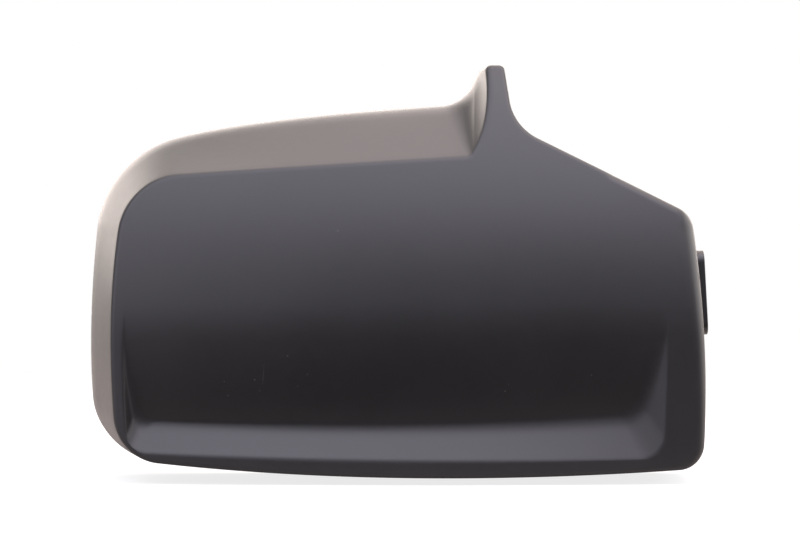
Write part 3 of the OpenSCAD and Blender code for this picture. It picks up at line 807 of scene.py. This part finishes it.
def satin_black():
    material = bpy.data.materials.new("satin_black_plastic")
    sheet = Sheet(material)
    place = sheet.add("ShaderNodeTexCoord", out="Object")

    def noise(scale, detail=2.0, rough=0.5):
        inputs = {"Vector": place, "Scale": scale, "Detail": detail, "Roughness": rough}
        return sheet.add("ShaderNodeTexNoise", None, inputs)

    grain = noise(GRAIN_SCALE, 3.0, 0.6)
    mottle = noise(MOTTLE_SCALE, 3.0, 0.55).fade(0.3, 0.7)
    drift = noise(DRIFT_SCALE, 2.0).fade(0.3, 0.7)
    dirt = None
    for x, z, size in SPECKS:
        ends = {0: place, 1: on_face(x, z)}
        far = sheet.add("ShaderNodeVectorMath", {"operation": "DISTANCE"}, ends, out="Value")
        speck = far.fade(size * 0.001, size * 0.0004)
        dirt = speck if dirt is None else dirt + speck
    x, y, z = sheet.axes(place)
    top, low = on_face(*SCRATCH[0]), on_face(*SCRATCH[1])
    line = top[0] + (z - top[2]) * ((low[0] - top[0]) / (low[2] - top[2]))
    off_line = (x - line).math("ABSOLUTE", x - line)
    scratch = off_line.fade(*SCRATCH_EDGES)
    scratch = scratch * z.fade(low[2], low[2] + SCRATCH_END) * z.fade(top[2], top[2] - SCRATCH_END)
    scratch = scratch * y.fade(0, -0.01) * noise(SCRATCH_BREAKS).fade(0.35, 0.6)
    marks = (dirt + scratch * 0.5).math("MINIMUM", dirt + scratch * 0.5, 1.0)
    worn = drift * 0.6 + mottle * 0.4
    colour = sheet.blend(marks * 0.6, sheet.blend(worn, BLACK, BLACK_WORN), DUST)
    rough = ROUGHNESS + drift * 0.03 + mottle * 0.02 + marks * 0.1
    height = grain + mottle * 0.4 + scratch * -2.0
    bump = sheet.add("ShaderNodeBump", None,
                     {"Strength": 0.35, "Distance": GRAIN_DEPTH, "Height": height})
    shader = sheet.add("ShaderNodeBsdfPrincipled", None,
                       {"Base Color": colour, "Roughness": rough, "IOR": 1.5, "Normal": bump})
    sheet.add("ShaderNodeOutputMaterial", None, {"Surface": shader})
    return material


def dress(piece, material):
    piece.data.materials.clear()
    piece.data.materials.append(material)


dress(cover, satin_black())
print("finish on", cover.name)

# %% [markdown]
# ## Floor and surroundings
# The floor is plain and pale. The camera sees it, and the room behind it, as near white, and it
# keeps the cover's soft shadow. To the cover itself the floor's colour is painted light and shade,
# because a black satin surface mirrors whatever lies around it: a painted dark grey in front, so
# that the low face stays dark, and a painted warm lit tone along the sill and behind, which puts
# a painted reflection in the sill and the low edges.
# Farther out the floor runs into plain white, so that no horizon shows. The surround is white
# behind the cover, which shows in its flanks. In front it is dark near the floor and grows lighter
# upwards and to the sides, which gives the face its slow change in tone.

# %% Floor and world
FLOOR_SIZE = 6.0
WHITE, FLOOR_PALE = (1, 1, 1, 1), (0.3, 0.3, 0.3, 1)
# The floor's colours as the cover mirrors it: a painted warm lit tone near the sill and behind, and a
# painted dark shade in front.
FLOOR_PAINTED_LIT, FLOOR_PAINTED_DARK = (0.6, 0.56, 0.52, 1), (0.072, 0.067, 0.06, 1)
ROOM_IN_FRONT, ROOM_BEHIND = (0.98, 0.96, 1.07, 1), (1, 0.93, 0.86, 1)
ROOM_DIFFUSE = 0.3


def floor():
    bpy.ops.object.select_all(action="DESELECT")
    bpy.ops.mesh.primitive_plane_add(size=FLOOR_SIZE, location=(0, 0, 0))
    ground = bpy.context.object
    ground.name = "floor"
    material = bpy.data.materials.new("pale_floor")
    sheet = Sheet(material)
    seen = sheet.add("ShaderNodeLightPath", out="Is Camera Ray")
    across, along, _ = sheet.axes(sheet.add("ShaderNodeTexCoord", out="Object"))
    # Painted light and shade, seen only in the cover's reflections: dark in front, lit near the sill and
    # behind, a little less dark on the left.
    painted_dark_side = (1 - along.fade(-0.085, -0.055)) * (1 - across.fade(-0.02, -0.4) * 0.25)
    tone = sheet.blend(painted_dark_side, FLOOR_PAINTED_LIT, FLOOR_PAINTED_DARK)
    painted_floor = sheet.add("ShaderNodeBsdfDiffuse", None, {"Color": tone})
    pale = sheet.add("ShaderNodeBsdfDiffuse", None, {"Color": FLOOR_PALE})
    glow = sheet.add("ShaderNodeEmission", None, {"Color": WHITE, "Strength": 0.8})
    close = sheet.add("ShaderNodeAddShader", None, {0: pale, 1: glow})
    white = sheet.add("ShaderNodeEmission", None, {"Color": WHITE, "Strength": 1.0})
    far = (across * across + along * along).fade(0.15, 1.6)
    bright = sheet.add("ShaderNodeMixShader", None, {0: far, 1: close, 2: white})
    both = sheet.add("ShaderNodeMixShader", None, {0: seen, 1: painted_floor, 2: bright})
    sheet.add("ShaderNodeOutputMaterial", None, {"Surface": both})
    dress(ground, material)


def surroundings():
    world = bpy.data.worlds.new("white_surround")
    bpy.context.scene.world = world
    sheet = Sheet(world)
    seen = sheet.add("ShaderNodeLightPath", out="Is Camera Ray")
    mirrored = sheet.add("ShaderNodeLightPath", out="Is Glossy Ray")
    x, y, z = sheet.axes(sheet.add("ShaderNodeTexCoord", out="Generated"))
    behind, up = y.fade(-0.15, 0.5), z.fade(-0.06, 0.45)
    left, right, far_left = x.fade(0.0, -0.4), x.fade(0.05, 0.4), x.fade(-0.5, -0.95)
    in_front = 0.12 + up * 0.85 + (left + right) * 0.2 + far_left * 0.6
    in_mirror = in_front.math("MINIMUM", in_front, 1.0) * (1 - behind) + behind
    around = mirrored * in_mirror + (1 - mirrored) * ROOM_DIFFUSE
    strength = seen + (1 - seen) * around
    tint = sheet.blend(seen, sheet.blend(behind, ROOM_IN_FRONT, ROOM_BEHIND), WHITE)
    light = sheet.add("ShaderNodeBackground", None, {"Color": tint, "Strength": strength})
    sheet.add("ShaderNodeOutputWorld", None, {"Surface": light})


floor()
surroundings()
print("floor", FLOOR_SIZE, "m wide, white surround")

# %% [markdown]
# ## Studio light
# Five large soft boxes light the cover. The front box hangs high in front, and gives the
# tipped-back upper face and the ledge their sheen. The top box lights the cover from above. The
# rear box stands behind it and shows, at a flat angle, in the flared band and in the horn's left
# flank. The left box is weak and lifts the left end of the face, and the right box the right side.
# All are big and far enough away that no edge of them shows as a line on the satin surface.

# %% Lamps


def soft_box(name, place, aim, width, height, watts, colour):
    bpy.ops.object.light_add(type="AREA", location=place)
    lamp = bpy.context.object
    lamp.name = name
    lamp.data.shape = "RECTANGLE"
    lamp.data.size, lamp.data.size_y = width, height
    lamp.data.energy, lamp.data.color = watts, colour
    towards = np.array(aim) - np.array(place)
    tilt = math.acos(-towards[2] / np.linalg.norm(towards))
    lamp.rotation_euler = (tilt, 0, math.atan2(towards[1], towards[0]) - math.pi / 2)
    lamp.visible_camera = False


BOXES = [
    ("front_box", (0.0, -0.72, 1.27), (0, 0, 0.15), 2.2, 1.25, 26, (0.98, 0.96, 1.13)),
    ("top_box", (0.35, 0.25, 1.4), (0.1, 0, 0.15), 2.0, 1.2, 21, (1.06, 0.91, 0.89)),
    ("rear_box", (0.0, 1.6, 0.72), (0, 0, 0.2), 3.0, 1.1, 42, (1.05, 0.92, 0.86)),
    ("left_box", (-0.95, -1.05, 0.35), (-0.1, 0, 0.1), 1.3, 0.9, 6.5, (0.97, 0.95, 1.09)),
    ("right_box", (1.4, 0.15, 0.55), (0.1, 0, 0.1), 1.8, 0.9, 15, (1.02, 0.96, 0.95)),
]
for box in BOXES:
    soft_box(*box)
print(len(BOXES), "soft boxes")
